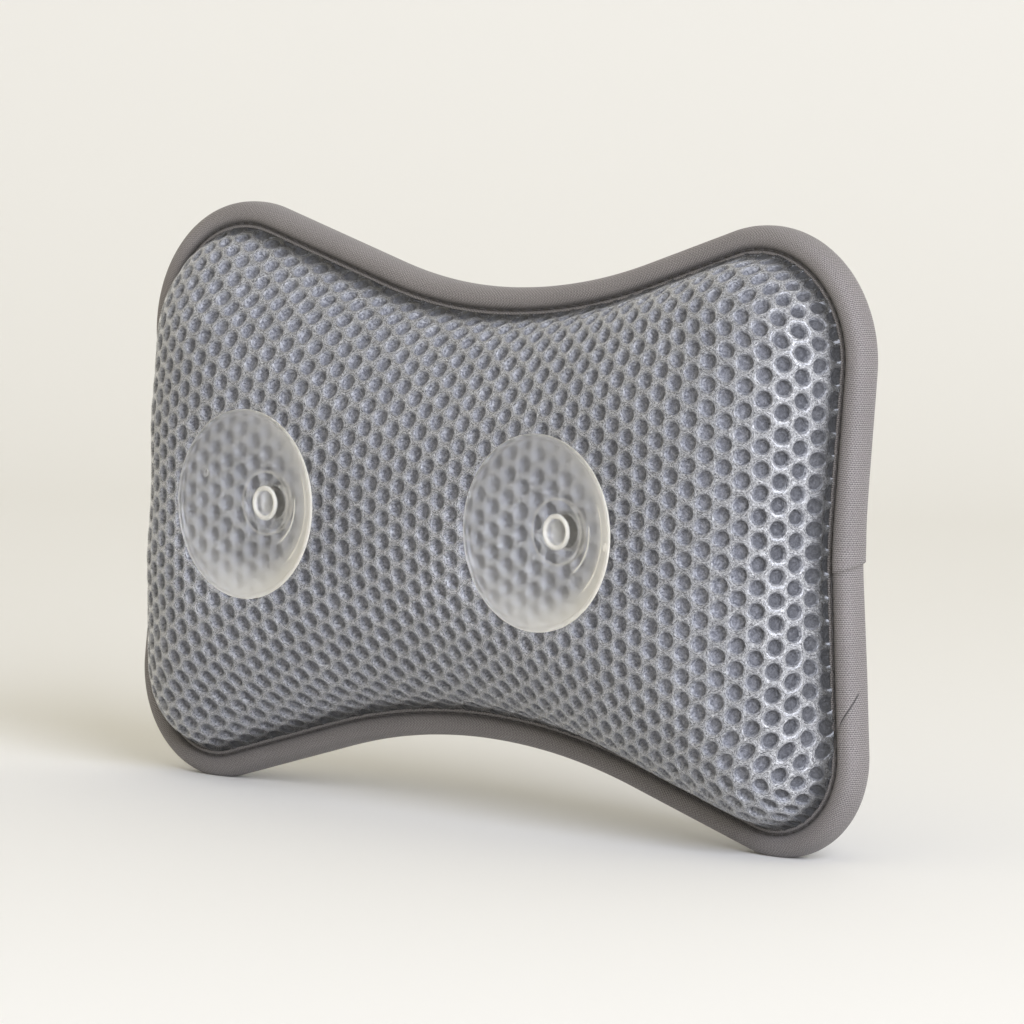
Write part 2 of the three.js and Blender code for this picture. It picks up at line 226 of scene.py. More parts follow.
# extrudes a closed loop of vertices through places given ring by ring, and returns every ring
def growRings(bm, loop, rings):
    grown = [loop]
    edges = [bm.edges.get((a, b)) or bm.edges.new((a, b)) for a, b in zip(loop, loop[1:] + loop[:1])]
    for places in rings:
        made = bmesh.ops.extrude_edge_only(bm, edges=edges)["geom"]
        fresh = {v for v in made if isinstance(v, bmesh.types.BMVert)}
        edges = [e for e in made if isinstance(e, bmesh.types.BMEdge)]
        ring = []
        for old in grown[-1]:
            ring.append(next(e.other_vert(old) for e in old.link_edges if e.other_vert(old) in fresh))
        for vert, place in zip(ring, places):
            vert.co = place
        grown.append(ring)
    return grown, edges


def pieceFrom(name, bm):
    mesh = bpy.data.meshes.new(name)
    bm.to_mesh(mesh)
    bm.free()
    mesh.shade_smooth()
    return newObject(name, mesh)


# replaces a piece's mesh by what its modifiers make of it
def applyModifiers(piece):
    bpy.context.view_layer.update()
    shown = piece.evaluated_get(bpy.context.evaluated_depsgraph_get())
    made = bpy.data.meshes.new_from_object(shown)
    piece.modifiers.clear()
    old = piece.data
    piece.data = made
    bpy.data.meshes.remove(old)
    return piece


def meshPoints(mesh, name="co"):
    flat = np.zeros(len(mesh.vertices) * 3)
    mesh.vertices.foreach_get(name, flat)
    return flat.reshape(-1, 3)


def treeOf(piece):
    bpy.context.view_layer.update()
    return BVHTree.FromObject(piece, bpy.context.evaluated_depsgraph_get())


# height of one face over the tape's plane, seen from outside
def faceHeight(tree, x, z, facing):
    far = tree.ray_cast(inFrame((x, z), facing * rayReach), Vector((0, -facing, 0)))[3]
    return 0 if far is None else rayReach - far


def setAttribute(mesh, name, values):
    mesh.attributes.new(name, "FLOAT", "POINT").data.foreach_set("value", values)


def faceOutward(bm):
    bmesh.ops.recalc_face_normals(bm, faces=bm.faces)


def easeVerts(bm, verts):
    bmesh.ops.smooth_vert(bm, verts=verts, factor=0.5, use_axis_x=True, use_axis_y=True, use_axis_z=True)


# the stuffed body without its weave: rings over the shoulder and in to the middle, on both faces
def makeBody(s):
    stations = edgeAt(evenAlong(s["stations"]))
    inset = lambda d: stations[:, :2] - stations[:, 2:] * d
    place = lambda flat, y: [inFrame(*pair) for pair in zip(flat, y)]
    level = lambda flat, y: place(flat, np.full(len(flat), y))
    bm = bmesh.new()
    rim = [bm.verts.new(p) for p in level(inset(s["rimInset"]), 0.0)]
    shoulder = [inset(s["footInset"] + step) for step in s["footSteps"]]
    inner = [shoulder[-1] * scale for scale in s["inwardScales"]]
    for facing, crown in ((-1, s["backCrown"]), (1, s["frontCrown"])):
        rings = [level(inset(s["rimInset"] + s["rimStep"]), facing * s["flangeHalf"]),
                 level(inset(s["footInset"]), facing * s["flangeHalf"])]
        rings += [place(flat, facing * crownHeight(flat, crown, facing)) for flat in shoulder + inner]
        last = growRings(bm, rim, rings)[1]
        bmesh.ops.contextual_create(bm, geom=last)
    faceOutward(bm)
    return pieceFrom("stuffedBody", bm)


# evens out the mesh, then lets pressure from inside swell it while the sewn edge is held
def inflate(body, s):
    remesh = body.modifiers.new("even", "REMESH")
    remesh.mode = "VOXEL"
    remesh.voxel_size = s["voxel"]
    applyModifiers(body)
    bm = bmesh.new()
    bm.from_mesh(body.data)
    fixed = edgeInset(meshPoints(body.data)) < s["pinInset"]
    loose = [v for v, held in zip(bm.verts, fixed) if not held]
    for _ in range(s["easeSteps"]):
        easeVerts(bm, loose)
    bm.normal_update()
    for vert in loose:
        vert.co -= vert.normal * s["shrink"]
    bm.to_mesh(body.data)
    bm.free()
    before = meshPoints(body.data)
    held = body.vertex_groups.new(name="sewnEdge")
    held.add([int(i) for i in np.where(fixed)[0]], 1.0, "REPLACE")
    cloth = body.modifiers.new("swell", "CLOTH")
    cloth.collision_settings.use_collision = False
    swell = cloth.settings
    swell.vertex_group_mass = "sewnEdge"
    swell.use_pressure = True
    swell.uniform_pressure_force = s["pressure"]
    swell.effector_weights.gravity = 0
    swell.quality = s["quality"]
    for number in range(1, s["frames"] + 1):
        scene.frame_set(number)
    applyModifiers(body)
    move = meshPoints(body.data) - before
    length = np.linalg.norm(move, axis=1, keepdims=True)
    move *= np.minimum(1, s["cap"] / np.maximum(length, 1e-9))
    body.data.vertices.foreach_set("co", (before + move).ravel())
    body.data.update()
    scene.frame_set(1)
    print("body swelled, largest move", round(float(length.max()), 5), "mean", round(float(length.mean()), 5))


body = makeBody(bodyShape)
sewnForm = treeOf(body)
inflate(body, bodyShape)
print("stuffed body", len(body.data.vertices), "points")


# brings both faces to their crown at the cups, and draws the back in a little round each cup's neck
def settleCrown(s):
    tree = treeOf(body)
    x = cupMiddles["right"][0]
    points = meshPoints(body.data)
    for facing, crown in ((-1, s["backCrown"]), (1, s["frontCrown"])):
        scale = (crown - s["dome"] * (x / edgeShape["halfWidth"]) ** 2) / faceHeight(tree, x, 0, facing)
        part = facing * (points[:, 1] - edgePlane) > 0
        lift = abs(points[part, 1] - edgePlane)
        ease = np.clip((lift - s["flangeHalf"]) / s["easeLift"], 0, 1)
        points[part, 1] = edgePlane + facing * lift * (1 + (scale - 1) * ease)
        print("crown", facing, "scaled by", round(float(scale), 4))
    for x, z in cupMiddles.values():
        near = np.hypot(points[:, 0] - x, points[:, 2] - z) / s["dimpleReach"]
        points[:, 1] += np.where(points[:, 1] < edgePlane, s["dimple"] * np.exp(-near ** 2), 0)
    # beside the seam the panels stand as steeply as they were sewn
    share = ramp(edgeInset(points), *s["wallReach"])[:, None]
    sewn = np.array([sewnForm.find_nearest(Vector(p))[0] for p in points])
    points += (sewn - points) * smooth(share)
    body.data.vertices.foreach_set("co", points.ravel())
    body.data.update()


settleCrown(bodyShape)


# one half of the body as a smooth sheet
def halfBody(facing):
    half = newObject("half", body.data.copy())
    bm = bmesh.new()
    bm.from_mesh(half.data)
    bmesh.ops.bisect_plane(bm, geom=bm.verts[:] + bm.edges[:] + bm.faces[:], dist=1e-6,
                           plane_co=(0, edgePlane, 0), plane_no=(0, facing, 0), clear_inner=True)
    bm.to_mesh(half.data)
    bm.free()
    finer = half.modifiers.new("finer", "SUBSURF")
    finer.levels = finer.render_levels = 1
    return applyModifiers(half)


# how the cloth lies: lengths along the surface from the panel's middle, sideways and upwards
def flatPattern(half, facing, s):
    tree = treeOf(half)
    step, columns, rows = s["patternStep"], s["patternColumns"], s["patternRows"]
    xs, zs = np.arange(-columns, columns + 1) * step, np.arange(-rows, rows + 1) * step
    heights = np.array([[faceHeight(tree, x, z, facing) for z in zs] for x in xs])

    def along(axis):
        lengths = np.cumsum(np.hypot(step, np.diff(heights, axis=axis)), axis=axis)
        return np.insert(lengths, 0, 0, axis=axis)

    sideways, upwards = along(0), along(1)
    fields = (sideways - sideways[columns], upwards - upwards[:, rows:rows + 1])
    points = meshPoints(half.data)
    i, j = points[:, 0] / step + columns, (points[:, 2] - middleHeight) / step + rows
    a, b = i.astype(int), j.astype(int)
    p, q = i - a, j - b

    def blend(f):
        lower = f[a, b] * (1 - p) + f[a + 1, b] * p
        upper = f[a, b + 1] * (1 - p) + f[a + 1, b + 1] * p
        return lower * (1 - q) + upper * q

    return np.stack([blend(f) for f in fields], axis=1)


# knitted spacer mesh: one cell with a rounded bar, a rim, a wall and a floor
meshCell = {
    "rowPitch": 0.00690, "columnPitch": 0.00575, "rows": 42, "columnPairs": 34,
    "crest": 0.00045, "floor": -0.0017, "insetStep": 0.0003,
    "rings": ((0.00284, 0.00030), (0.00250, -0.00010), (0.00232, -0.00075), (0.00214, -0.0017)),
    "wander": 0.0005, "wanderLength": 0.018, "wanderSheet": 3, "wanderSeed": 7, "neckHole": 0.0058,
    # pressed flat beside the seam and how flat, painted shade at the hem, painted glints and hole shade where
    # it leans sideways
    "press": (0.0085, 0.0120), "pressed": 0.2, "hemShade": (0.0105, 0.0060), "sideLight": (0.30, 0.75),
}


def spacerCell(c):
    bm = bmesh.new()
    bmesh.ops.create_circle(bm, cap_ends=True, segments=6, radius=1)
    bmesh.ops.rotate(bm, verts=bm.verts, matrix=Matrix.Rotation(math.pi / 2, 3, "Z"))
    bmesh.ops.scale(bm, verts=bm.verts, vec=(c["columnPitch"] / 1.5, c["rowPitch"] / math.sqrt(3), 1))
    bmesh.ops.subdivide_edges(bm, edges=bm.edges, cuts=1)
    bmesh.ops.translate(bm, verts=bm.verts, vec=(0, 0, c["crest"]))
    bm.faces.ensure_lookup_table()
    hole = bm.faces[0]
    for radius, height in c["rings"]:
        bmesh.ops.inset_individual(bm, faces=[hole], thickness=c["insetStep"])
        for vert in hole.verts:
            out = Vector((vert.co.x, vert.co.y)).normalized() * radius
            vert.co = (out.x, out.y, height)
    cell = pieceFrom("spacerCell", bm)
    setAttribute(cell.data, "reach", [math.hypot(v.co.x, v.co.y) for v in cell.data.vertices])
    return cell


def repeat(piece, count, offset):
    array = piece.modifiers.new("repeat", "ARRAY")
    array.count = count
    array.use_relative_offset = False
    array.use_constant_offset = True
    array.constant_offset_displace = offset
    array.use_merge_vertices = True
    array.merge_threshold = 1e-5


def spacerField(c):
    field = spacerCell(c)
    repeat(field, 2, (c["columnPitch"], c["rowPitch"] / 2, 0))
    repeat(field, c["rows"], (0, c["rowPitch"], 0))
    repeat(field, c["columnPairs"], (2 * c["columnPitch"], 0, 0))
    applyModifiers(field)
    shift = Vector((-(c["columnPairs"] - 0.5) * c["columnPitch"], -(c["rows"] - 0.5) * c["rowPitch"] / 2, 0))
    field.data.transform(Matrix.Translation(shift))
    return field


# where points of the flat pattern lie on one half of the body, and how the surface leans there
def onHalf(half, facing, spots):
    flat, mesh = flatPattern(half, facing, bodyShape), half.data
    mesh.calc_loop_triangles()
    triangles = np.array([t.vertices[:] for t in mesh.loop_triangles])
    tree = BVHTree.FromPolygons([(p[0], p[1], 0) for p in flat], triangles.tolist())
    found = [tree.find_nearest((p[0], p[1], 0)) for p in spots]
    corners = triangles[[f[2] for f in found]]
    near = np.array([f[0][:2] for f in found])
    a, b, c = (flat[corners[:, k]] for k in range(3))
    cross = lambda p, q: p[:, 0] * q[:, 1] - p[:, 1] * q[:, 0]
    area = cross(b - a, c - a)
    area = np.where(abs(area) < 1e-12, 1e-12, area)
    second = np.clip(cross(near - a, c - a) / area, 0, 1)
    third = np.clip(cross(b - a, near - a) / area, 0, 1)
    weights = np.stack([np.maximum(0, 1 - second - third), second, third], axis=1)
    weights = (weights / weights.sum(1, keepdims=True))[..., None]
    surface = (meshPoints(mesh)[corners] * weights).sum(1)
    lean = (meshPoints(mesh, "normal")[corners] * weights).sum(1)
    inside = np.array([f[3] for f in found]) < 1e-5
    return surface, lean / np.linalg.norm(lean, axis=1, keepdims=True), inside


# lays the flat field of cells on one half of the body, following its pattern
def layPanel(name, facing, c):
    half, panel = halfBody(facing), spacerField(c)
    panel.name = name
    mesh = panel.data
    cells = meshPoints(mesh)
    noise.seed_set(c["wanderSeed"])
    drift = [Vector((p[0], p[1], c["wanderSheet"] * facing)) / c["wanderLength"] for p in cells]
    sway = np.array([noise.noise_vector(place)[:2] for place in drift])
    spots = cells[:, :2] + c["wander"] * sway
    surface, lean, inside = onHalf(half, facing, spots)
    bpy.data.objects.remove(half)
    loose = np.maximum(ramp(edgeInset(surface), *c["press"]), c["pressed"])
    places = surface + lean * (loose * cells[:, 2])[:, None]
    # the hole for each cup's neck, drawn up to a round edge
    neck = np.zeros(len(cells), dtype=bool)
    for middle in cupMiddles.values() if facing < 0 else ():
        off = places[:, [0, 2]] - middle
        away = np.linalg.norm(off, axis=1, keepdims=True)
        near = away[:, 0] < c["neckHole"]
        places[np.ix_(near, [0, 2])] = middle + (off * c["neckHole"] / np.maximum(away, 1e-6))[near]
        neck |= near
    mesh.vertices.foreach_set("co", places.ravel())
    setAttribute(mesh, "pit", (c["crest"] - cells[:, 2]) / (c["crest"] - c["floor"]))
    # painted light: where the surface leans sideways, bars get painted glints and holes painted shade
    setAttribute(mesh, "sideLight", ramp(abs(lean[:, 0]), *c["sideLight"]))
    # painted shade: the mesh darkens where it dips low beside the tape
    setAttribute(mesh, "hemShade", ramp(abs(surface[:, 1] - edgePlane), *c["hemShade"]))
    corner = np.zeros(len(mesh.loops), dtype=np.int32)
    mesh.loops.foreach_get("vertex_index", corner)
    mesh.uv_layers.new(name="fabric").data.foreach_set("uv", spots[corner].astype(np.float32).ravel())
    bm = bmesh.new()
    bm.from_mesh(mesh)
    # cells that reach past the sewn edge end on it, and none close a cup's hole
    past = lambda face: not any(inside[v.index] for v in face.verts) or all(neck[v.index] for v in face.verts)
    bmesh.ops.delete(bm, geom=[f for f in bm.faces if past(f)], context="FACES")
    bm.normal_update()
    if sum(f.normal.y * f.calc_area() for f in bm.faces) * facing < 0:
        bmesh.ops.reverse_faces(bm, faces=bm.faces)
    bm.to_mesh(mesh)
    bm.free()
    mesh.shade_smooth()
    print(name, len(mesh.polygons), "faces")
    return panel


backPanel = layPanel("back_mesh_panel", -1, meshCell)
frontPanel = layPanel("front_mesh_panel", 1, meshCell)


# folded tape round the edge: half of its section as inset and height, from the fold's middle to its lip
tapeShape = {
    "roll": 0.0039, "rollHalf": 0.00525, "squareness": 0.80, "rollSteps": 9, "rollMiddle": 0.0042,
    "face": ((0.0046, 0.00520), (0.0053, 0.00502), (0.0059, 0.00472), (0.0064, 0.00434), (0.0068, 0.00404),
             (0.0071, 0.00394), (0.00745, 0.00402), (0.0078, 0.00420), (0.00815, 0.00428), (0.0084, 0.00418),
             (0.0085, 0.00398)),
    "inside": ((0.00835, 0.00372), (0.0071, 0.00360), (0.0055, 0.00370), (0.0037, 0.00370), (0.0019, 0.0024),
               (0.0013, 0.0009)),
    "stitchInset": 0.0071, "valley": 0.00394, "stitchPitch": 0.0046, "dimple": 0.00030, "dimpleReach": 0.0009,
    "seamHalf": 0.0012, "seamSlack": 0.0001,
    "shadeInset": 0.0070, "shadeWidth": 0.00085, "shadeFrom": 0.0039, "underShade": 0.34,
    "lapEnd": 0.0052, "lapGrow": 0.00036, "lapFade": 0.020, "lapSink": 0.0004, "sinkReach": 0.032,
    "lapSlant": 0.25, "slantAcross": 0.008, "slantReach": 0.03, "growSpan": (0.0068, 0.0054),
    "creaseStart": 0.0430, "creaseFrom": 0.0016, "creaseLean": 1.31, "crease": 0.00030,
    "creaseWidth": 0.00090, "creaseAcross": 0.010, "creaseSpan": (0.0012, 0.0024),
    "lapStep": 0.00006, "fineStretch": (0.042, 0.058), "alongSteps": (6, 28, 100, 720),
}


def tapeSection(t):
    half = []
    for k in range(t["rollSteps"] + 1):
        angle = math.pi / 2 * k / t["rollSteps"]
        inset = t["roll"] * (1 - max(0.0, math.cos(angle)) ** t["squareness"])
        half.append((inset, t["rollHalf"] * math.sin(angle) ** t["squareness"]))
    half += [*t["face"], *t["inside"]]
    return [(inset, -y) for inset, y in half[:0:-1]] + half


# how far each point of the section lies along its surface
def acrossTape(section):
    return np.cumsum([0] + [math.dist(p, q) for p, q in zip(section, section[1:] + section[:1])])


# places along the tape: close together at the lap's end and at the crease
def tapeAlong(t):
    lap, step = t["lapEnd"], t["lapStep"]
    fineStart, fineEnd = t["fineStretch"]
    lapSteps, upperSteps, fineSteps, restSteps = t["alongSteps"]
    return np.concatenate([
        np.linspace(0, lap - step, lapSteps),
        np.linspace(lap + step, fineStart, upperSteps, endpoint=False),
        np.linspace(fineStart, fineEnd, fineSteps, endpoint=False),
        np.linspace(fineEnd, edgeLength, restSteps, endpoint=False),
    ])


# the tape's end that comes from above lies over its start, which is drawn in below the lap
def lapGrowth(along, t):
    over = np.where(along < t["lapEnd"], 1, ramp(along, edgeLength - t["lapFade"], edgeLength))
    under = np.where(along > t["lapEnd"], ramp(along, t["lapEnd"] + t["sinkReach"], t["lapEnd"]), 0)
    return t["lapGrow"] * over ** 2 - t["lapSink"] * under


def makeTape(t):
    along, section = tapeAlong(t), tapeSection(t)
    growth = lapGrowth(along, t)
    across = acrossTape(section)
    count = round(edgeLength / t["stitchPitch"])
    phase = (along / edgeLength * count) % 1
    dent = np.exp(-(np.minimum(phase, 1 - phase) * edgeLength / count / t["dimpleReach"]) ** 2)
    fromLap = abs((along - t["lapEnd"] + edgeLength / 2) % edgeLength - edgeLength / 2)
    rings, shades, runs = [], [], []
    for (inset, y), v in zip(section, across - across[len(section) // 2]):
        out = Vector((inset - t["rollMiddle"], y)).normalized()
        inValley = abs(y) > t["valley"] - t["seamSlack"]
        seamAndShade = inValley * max(0.0, 1 - abs(inset - t["stitchInset"]) / t["seamHalf"])
        # a fold line across the back face, below the lap
        line = t["creaseStart"] + t["creaseLean"] * (abs(v) - t["creaseFrom"])
        onBack = -t["creaseAcross"] < v < 0
        crease = t["crease"] * onBack * ramp(abs(v), *t["creaseSpan"])
        fold = crease * np.exp(-((along - line) / t["creaseWidth"]) ** 2)
        grow = growth * ramp(inset, *t["growSpan"]) - fold
        slant = t["lapSlant"] * np.clip(v, -t["slantAcross"], t["slantAcross"])
        run = along - slant * np.clip(1 - fromLap / t["slantReach"], 0, 1)
        stations = edgeAt(run % edgeLength)
        flat = stations[:, :2] - stations[:, 2:] * (inset + out.x * grow)[:, None]
        height = y + out.y * grow - math.copysign(t["dimple"], y) * seamAndShade * dent
        rings.append([inFrame(*pair) for pair in zip(flat, height)])
        # painted shade: darker in the valley and underneath
        valley = math.exp(-((inset - t["shadeInset"]) / t["shadeWidth"]) ** 2) * (abs(y) > t["shadeFrom"])
        under = t["underShade"] * np.clip(-stations[:, 3], 0, 1)
        shades.append(np.maximum(valley, under))
        runs.append(run)
    bm = bmesh.new()
    shade = bm.verts.layers.float.new("seamAndShade")
    grown = growRings(bm, [bm.verts.new(p) for p in rings[0]], rings[1:] + rings[:1])[0]
    mark = {}
    for ring, v, values, run in zip(grown, across, shades + shades[:1], runs + runs[:1]):
        for i, vert in enumerate(ring):
            vert[shade] = values[i]
            mark[vert] = (i, float(run[i]), float(v))
    uv = bm.loops.layers.uv.new("tape")
    for face in bm.faces:
        turnsOver = {0, len(along) - 1} <= {mark[v][0] for v in face.verts}
        for loop in face.loops:
            i, u, v = mark[loop.vert]
            loop[uv].uv = (u + edgeLength if turnsOver and i == 0 else u, v)
    bmesh.ops.remove_doubles(bm, verts=bm.verts, dist=1e-7)
    faceOutward(bm)
    return pieceFrom("woven_edge_tape", bm)


tape = makeTape(tapeShape)
print("tape", len(tape.data.polygons), "faces")


# sewing thread: short capsules laid end to end in the tape's valley, on one face
threadShape = {"radius": 0.00026, "length": 0.0034, "sides": 6, "rings": 6, "lift": 0.00010}


def makeStitches(name, facing, s, t):
    count = round(edgeLength / t["stitchPitch"])
    along = (np.arange(count) + 0.5) * edgeLength / count
    half = s["length"] / 2 - s["radius"]
    bm = bmesh.new()
    for row in edgeAt(along):
        made = bmesh.ops.create_uvsphere(
            bm, u_segments=s["sides"], v_segments=s["rings"], radius=s["radius"])["verts"]
        for vert in made:
            vert.co.z += half * ((vert.co.z > 1e-6) - (vert.co.z < -1e-6))
        place = inFrame(row[:2] - row[2:] * t["stitchInset"], facing * (t["valley"] + s["lift"]))
        turn = Vector((-row[3], 0, row[2])).to_track_quat("Z", "Y").to_matrix().to_4x4()
        bmesh.ops.transform(bm, verts=made, matrix=Matrix.Translation(place) @ turn)
    return pieceFrom(name, bm)


backStitches = makeStitches("back_stitches", -1, threadShape, tapeShape)
frontStitches = makeStitches("front_stitches", 1, threadShape, tapeShape)


# suction cup: half of its section as radius and height above the panel, spun about its axis
cupShape = {
    "radius": 0.0295, "depth": 0.0095, "floor": 0.0055, "dishPower": 1.5, "steps": 96, "skirtSteps": 22,
    "skirtRoot": 0.0018, "skirtEdge": 0.0009, "seal": 0.0016, "sealRound": 0.00025,
    "boss": 0.0097, "bossGap": 0.0017, "bossStep": 0.0004, "round": 0.0006,
    "neck": 0.0053, "bore": 0.0039, "bead": 0.0008, "beadSteps": 6, "beadFoot": 0.0003,
    "recess": 0.0016, "recessRound": 0.0005, "recessTaper": 0.0001,
    "headTop": -0.0067, "head": 0.009, "headThick": 0.0036, "headRound": 0.0005, "headEdge": 0.0004,
    "headDome": ((1.0, 0.3), (0.75, 0.8), (0.4, 1.0)),
    # each flow line's radius and the turns it runs between
    "flowRings": ((0.0140, -58, 14), (0.0228, -51, 29)), "flowSteps": (-1.6, -0.8, 0, 0.8, 1.6),
    "flowHeight": 0.00030, "flowWidth": 0.00034, "flowFade": 8,
    "gate": {"left": (159.0, 0.0228), "right": (-5.0, 0.0268)}, "gateSize": (0.0020, 0.0008, 0.0028),
}


def dishHeight(r, c):
    sealInner = c["radius"] - c["seal"]
    share = max(0.0, (r - c["boss"]) / (sealInner - c["boss"]))
    return c["floor"] + (c["depth"] - c["skirtEdge"]) * share ** c["dishPower"]


def cupProfile(c):
    sizes = lambda *names: (c[name] for name in names)
    radius, floor, boss, neck, bore = sizes("radius", "floor", "boss", "neck", "bore")
    head, thick, headRound, headEdge = sizes("head", "headThick", "headRound", "headEdge")
    top, gap, bend, ease, rim = sizes("headTop", "bossGap", "round", "sealRound", "skirtEdge")
    sealInner, seal, bottom = radius - c["seal"], floor + c["depth"], floor - c["recess"]
    even = [boss + (sealInner - boss) * k / c["skirtSteps"] for k in range(c["skirtSteps"] + 1)]
    flow = [ring + d * c["flowWidth"] for ring, *_ in c["flowRings"] for d in c["flowSteps"]]
    wall = lambda r: c["skirtRoot"] + (rim - c["skirtRoot"]) * (r - boss) / (sealInner - boss)
    middle, half = (neck + bore) / 2, (neck - bore) / 2
    bead = [math.pi * (1 - k / c["beadSteps"]) for k in range(c["beadSteps"] + 1)]
    return [
        (0, bottom), (bore - bend, bottom),
        (bore - c["recessTaper"], bottom + c["recessRound"]), (bore, floor - bend),
        *[(middle + half * math.cos(angle), floor + c["bead"] * math.sin(angle)) for angle in bead],
        (neck + c["beadFoot"], floor), (boss - c["bossStep"], floor),
        *[(r, dishHeight(r, c)) for r in sorted(even + flow)],
        (sealInner + ease / 2, seal - 2 * ease), (sealInner + 2 * ease, seal), (radius - ease, seal),
        (radius, seal - ease), (radius, seal - rim + ease), (radius - ease, seal - rim),
        *[(r, dishHeight(r, c) - wall(r)) for r in reversed(even)],
        (boss, gap + bend), (boss - bend, gap), (neck + bend, gap), (neck, gap - bend),
        (neck, top + headRound), (neck + headRound, top), (head - headEdge, top), (head, top - headEdge),
        *[(head * share, top - deep * thick) for share, deep in c["headDome"]], (0, top - thick),
    ]


def panelFace(side, c):
    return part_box(side + "_suction_cup")[0].y + c["floor"] + c["depth"]


# 1 along a flow line, fading at both its ends
def flowShare(turn, start, end, c):
    return np.clip((turn - start) / c["flowFade"], 0, 1) * np.clip((end - turn) / c["flowFade"], 0, 1)


# how milky each part of the moulding is, with painted light on its lit side and along its flow lines
cupHaze = {
    "litTurn": -35, "bead": (-0.0003, 0.0001), "rimWidth": 0.0004, "rimLeast": 0.15,
    "skirt": 0.55, "skirtReach": (0.018, 0.027), "bossLine": 0.45, "recess": 0.20, "neck": 0.35,
    "slack": 0.0001, "neckSlack": 0.0002, "flowReach": 0.9, "skinReach": 0.002,
}


# milkier where it is thick; painted highlights along the lit parts of the flow lines, and painted light
# towards the lit side of the skirt and rim
def milkAndPaintedLight(reach, height, turn, c, h):
    litShare = (0.5 + 0.5 * np.cos(np.radians(turn - h["litTurn"]))) ** 2
    raised, rim = height - c["floor"], ramp(reach, c["radius"] - h["rimWidth"], c["radius"])
    inDish = height > c["floor"]
    layers = [
        ramp(raised, *h["bead"]) * (reach < c["neck"] + h["slack"]),
        rim * (h["rimLeast"] + (1 - h["rimLeast"]) * litShare),
        h["skirt"] * ramp(reach, *h["skirtReach"]) * litShare * inDish,
        h["bossLine"] * (abs(reach - c["boss"]) < h["slack"]) * (abs(raised) < h["slack"]),
        h["recess"] * (reach < c["bore"]) * (height > 0),
        h["neck"] * (abs(reach - c["neck"]) < h["neckSlack"]) * (height < c["bossGap"]),
    ]
    # painted highlight: milk along the flow lines over the turns where they glint
    for ring, start, end in c["flowRings"]:
        onLine = abs(reach - ring) < h["flowReach"] * c["flowWidth"]
        layers.append(flowShare(turn, start, end, c) * onLine * inDish)
    return np.max(layers, axis=0)


def makeCup(side, c, h):
    x, z = cupMiddles[side]
    face = panelFace(side, c)
    bm = bmesh.new()
    line = [bm.verts.new((x + r, face - height, z)) for r, height in cupProfile(c)]
    edges = [bm.edges.new(pair) for pair in zip(line, line[1:])]
    bmesh.ops.spin(bm, geom=line + edges, cent=(x, 0, z), axis=(0, 1, 0), angle=2 * math.pi, steps=c["steps"],
                   use_merge=True, use_duplicate=False)
    bmesh.ops.remove_doubles(bm, verts=bm.verts, dist=1e-6)
    faceOutward(bm)
    # raised flow lines in the dish, each over part of a turn
    for ring, start, end in c["flowRings"]:
        for vert in bm.verts:
            out = math.hypot(vert.co.x - x, vert.co.z - z)
            turn = math.degrees(math.atan2(vert.co.z - z, vert.co.x - x))
            if abs(out - ring) < 2 * c["flowWidth"] and abs(face - vert.co.y - dishHeight(out, c)) < 1e-5:
                swell = math.exp(-((out - ring) / c["flowWidth"]) ** 2)
                vert.co.y -= c["flowHeight"] * swell * flowShare(turn, start, end, c)
    # small mark that the mould's gate leaves in the dish
    degrees, reach = c["gate"][side]
    angle = math.radians(degrees)
    mark = bmesh.ops.create_icosphere(bm, subdivisions=2, radius=0.5)["verts"]
    spot = Vector((x + reach * math.cos(angle), face - dishHeight(reach, c), z + reach * math.sin(angle)))
    size = Matrix.Diagonal((*c["gateSize"], 1))
    turn = Matrix.Rotation(-angle, 4, "Y")
    bmesh.ops.transform(bm, verts=mark, matrix=Matrix.Translation(spot) @ turn @ size)
    cup = pieceFrom(side + "_clear_cup", bm)
    points = meshPoints(cup.data)
    reach, height = np.hypot(points[:, 0] - x, points[:, 2] - z), face - points[:, 1]
    turn = np.degrees(np.arctan2(points[:, 2] - z, points[:, 0] - x))
    setAttribute(cup.data, "skin", np.clip((reach - c["boss"]) / h["skinReach"], 0, 1))
    # this milk share holds painted highlights as well as the thick parts' milkiness
    setAttribute(cup.data, "thick", milkAndPaintedLight(reach, height, turn, c, h))
    return cup


cups = {side: makeCup(side, cupShape, cupHaze) for side in ("left", "right")}
print("cups", len(cups["left"].data.polygons), "faces each")


# loose filling under the panels, thin at the edge, with a pocket behind each cup
fillShape = {"under": 0.0042, "thinInset": 0.0125, "thinShare": 0.25, "pocket": 0.0160, "pocketDepth": 0.0122}


def makeFilling(f):
    filling = newObject("soft_filling", body.data.copy())
    bm = bmesh.new()
    bm.from_mesh(filling.data)
    easeVerts(bm, bm.verts)
    bm.normal_update()
    for vert in bm.verts:
        vert.co -= vert.normal * f["under"]
    thin = edgeInset(np.array([v.co[:] for v in bm.verts])) < f["thinInset"]
    for vert, beside in zip(bm.verts, thin):
        if beside:
            vert.co.y = edgePlane + f["thinShare"] * (vert.co.y - edgePlane)
    face = panelFace("left", cupShape)
    for x, z in cupMiddles.values():
        for vert in bm.verts:
            if vert.co.y < edgePlane and math.hypot(vert.co.x - x, vert.co.z - z) < f["pocket"]:
                vert.co.y = max(vert.co.y, face + f["pocketDepth"])
    bm.to_mesh(filling.data)
    bm.free()
    return filling


filling = makeFilling(fillShape)
bpy.data.objects.remove(body)


